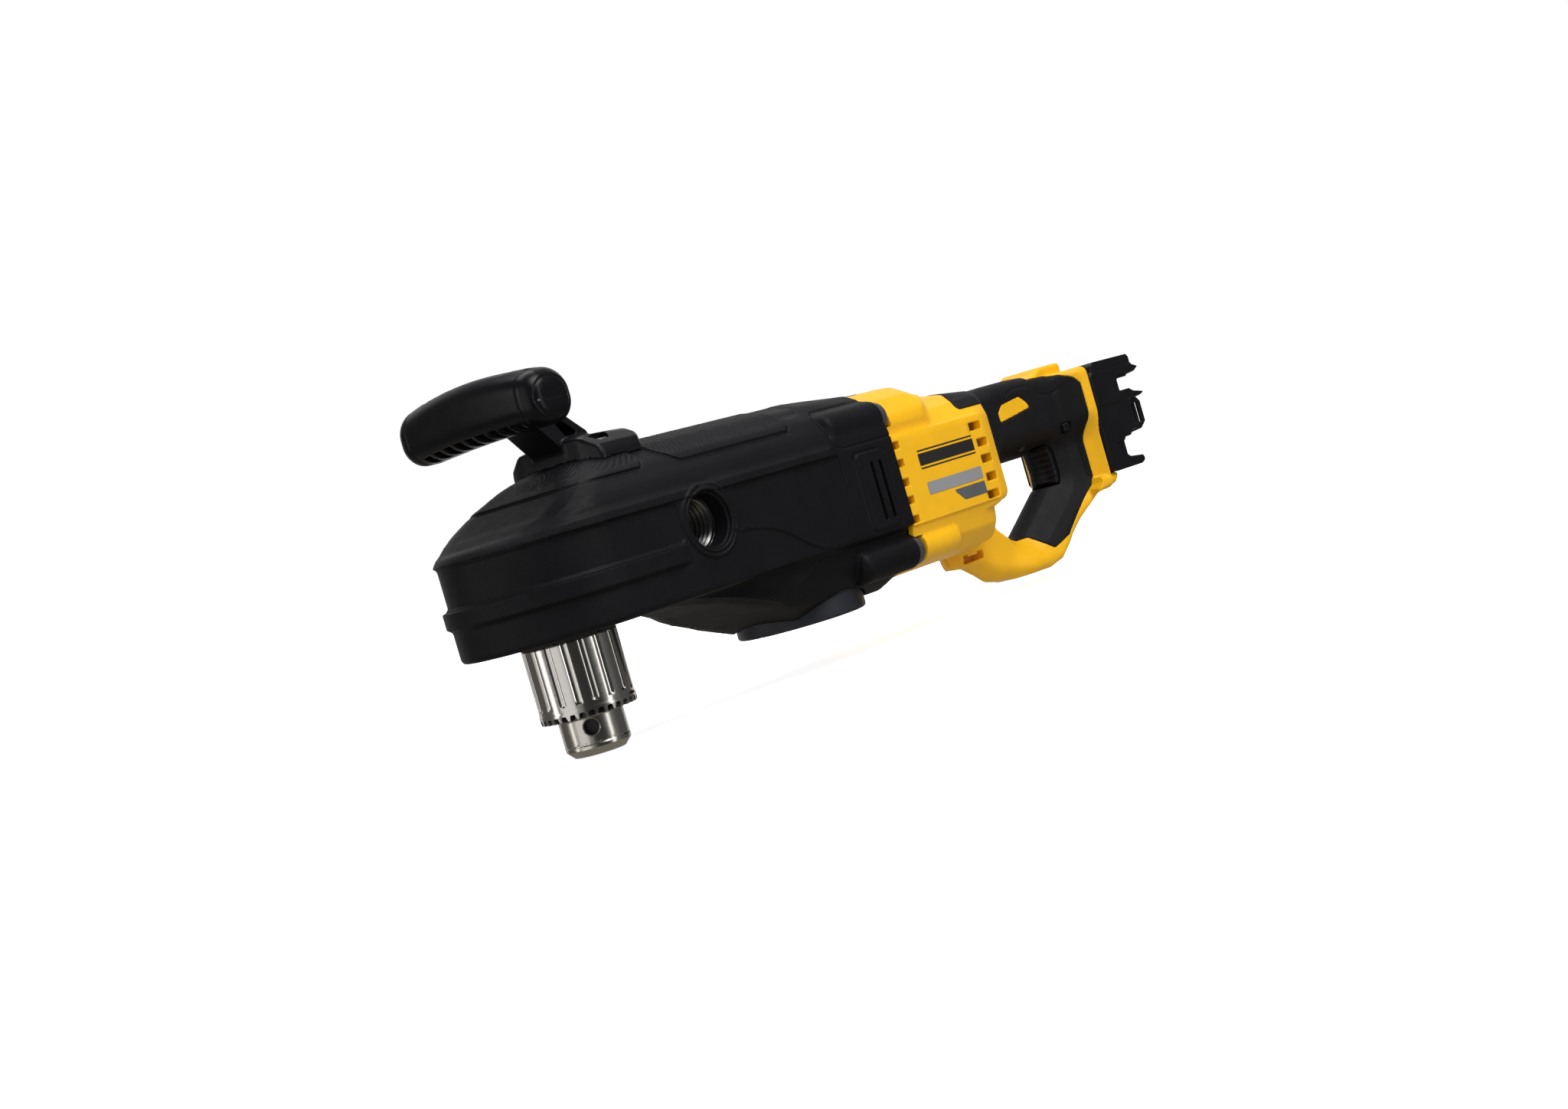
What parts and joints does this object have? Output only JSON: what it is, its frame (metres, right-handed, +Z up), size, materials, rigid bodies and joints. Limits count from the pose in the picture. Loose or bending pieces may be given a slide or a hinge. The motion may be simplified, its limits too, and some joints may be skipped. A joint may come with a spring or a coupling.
{
  "type": "cordless drill",
  "caption": "Right-angle cordless drill with a long flat gear head, keyed chuck, bail handle over the head, motor housing and closed rear handle with trigger and pack receiver.",
  "frame": {"origin": "centre of the chuck's mouth, in the chuck's nose face", "axes": "+X to the rear, from the chuck to the pack receiver; +Z up along the chuck's axis, from the nose into the head; Y across the tool"},
  "size_m": [0.5118, 0.1006, 0.172],
  "materials": {
    "boot_rubber": "satin black moulded cover",
    "cast_alloy": "as cast",
    "handle_alloy": "satin black paint",
    "handle_plastic": "satin black",
    "yellow_plastic": "satin yellow",
    "soft_grip": "matt black",
    "dark_plastic": "matt black",
    "label_light": "plain grey",
    "label_dark": "plain dark",
    "bright_steel": "bright turned",
    "gear_steel": "machined",
    "black_steel": "black oxide",
    "knob_plastic": "grey",
    "winding": "enamelled wire",
    "lamination": "stacked sheet",
    "circuit": "potted board",
    "wire_red": "insulation"
  },
  "bodies": {
    "tool": {"gear_case": "cast_alloy", "head_boot": "boot_rubber", "nose_plate": "black_steel", "side_socket_left": "bright_steel", "side_socket_right": "bright_steel", "bail_bracket": "handle_alloy", "bail_grip": "handle_plastic", "bail_bolts": "black_steel", "case_bolts": "black_steel", "housing_left": "yellow_plastic", "housing_right": "yellow_plastic", "grip_left": "soft_grip", "grip_right": "soft_grip", "housing_screws": "black_steel", "badge_left": "label_dark", "badge_right": "label_dark", "label_left": "label_light", "label_right": "label_light", "tag_left": "label_dark", "tag_right": "label_dark", "top_tag": "label_dark", "pack_receiver": "dark_plastic", "terminal_block": "dark_plastic", "terminal_blades": "bright_steel", "control_module": "circuit", "trigger_switch": "dark_plastic", "motor_leads": "wire_red", "stator_core": "lamination", "stator_coils": "winding", "motor_front_bearing": "gear_steel", "motor_rear_bearing": "gear_steel", "counter_bearings": "gear_steel", "layshaft_bearings": "gear_steel", "spindle_lower_bearing": "gear_steel", "spindle_upper_bearing": "gear_steel"},
    "rotor": {"rotor_shaft": "gear_steel", "rotor_core": "lamination", "rotor_magnets": "black_steel", "motor_fan": "dark_plastic"},
    "countershaft": {"counter_shaft": "gear_steel"},
    "layshaft": {"layshaft": "gear_steel"},
    "spindle": {"spindle": "gear_steel", "face_gear": "gear_steel", "chuck_body": "bright_steel", "chuck_hub": "bright_steel", "chuck_screw": "black_steel"},
    "sleeve": {"chuck_sleeve": "bright_steel", "chuck_nut": "gear_steel"},
    "jaw_a": {"jaw_a": "gear_steel"},
    "jaw_b": {"jaw_b": "gear_steel"},
    "jaw_c": {"jaw_c": "gear_steel"},
    "trigger": {"trigger": "dark_plastic"},
    "direction_button": {"direction_button": "dark_plastic"},
    "speed_knob": {"speed_knob": "knob_plastic"}
  },
  "joints": [
    {"name": "rotor_spin", "type": "hinge", "parent": "tool", "child": "rotor", "pos_m": [0.24, 0, 0.076], "axis": [1, 0, 0], "continuous": true},
    {"name": "countershaft_spin", "type": "hinge", "parent": "tool", "child": "countershaft", "pos_m": [0.155, 0, 0.0562], "axis": [1, 0, 0], "continuous": true},
    {"name": "layshaft_spin", "type": "hinge", "parent": "tool", "child": "layshaft", "pos_m": [0.1, 0, 0.08682], "axis": [1, 0, 0], "continuous": true},
    {"name": "spindle_spin", "type": "hinge", "parent": "tool", "child": "spindle", "pos_m": [0, 0, 0.06], "axis": [0, 0, 1], "continuous": true},
    {"name": "sleeve_turn", "type": "hinge", "parent": "spindle", "child": "sleeve", "pos_m": [0, 0, 0.035], "axis": [0, 0, 1], "range_deg": [0, 2880]},
    {"name": "jaw_a_slide", "type": "slide", "parent": "spindle", "child": "jaw_a", "axis": [-0.0626, 0.2511, -0.9659], "range_m": [0, 0.0235]},
    {"name": "jaw_b_slide", "type": "slide", "parent": "spindle", "child": "jaw_b", "axis": [-0.1862, -0.1798, -0.9659], "range_m": [0, 0.0235]},
    {"name": "jaw_c_slide", "type": "slide", "parent": "spindle", "child": "jaw_c", "axis": [0.2488, -0.0713, -0.9659], "range_m": [0, 0.0235]},
    {"name": "trigger_pull", "type": "slide", "parent": "tool", "child": "trigger", "axis": [1, 0, 0], "range_m": [0, 0.007], "stiffness_N_per_m": 900, "springref_m": -0.004},
    {"name": "direction_slide", "type": "slide", "parent": "tool", "child": "direction_button", "axis": [0, 1, 0], "range_m": [-0.0022, 0.0022]},
    {"name": "speed_turn", "type": "hinge", "parent": "tool", "child": "speed_knob", "pos_m": [0.152, 0, 0.03], "axis": [0, 0, 1], "range_deg": [0, 90]}
  ],
  "couplings": [
    {"joint": "countershaft_spin", "follows": "rotor_spin", "ratio": -0.33333},
    {"joint": "layshaft_spin", "follows": "rotor_spin", "ratio": 0.096491},
    {"joint": "spindle_spin", "follows": "rotor_spin", "ratio": 0.026535},
    {"joint": "jaw_a_slide", "follows": "sleeve_turn", "m_per_rad": 0.00046652},
    {"joint": "jaw_b_slide", "follows": "sleeve_turn", "m_per_rad": 0.00046652},
    {"joint": "jaw_c_slide", "follows": "sleeve_turn", "m_per_rad": 0.00046652}
  ]
}
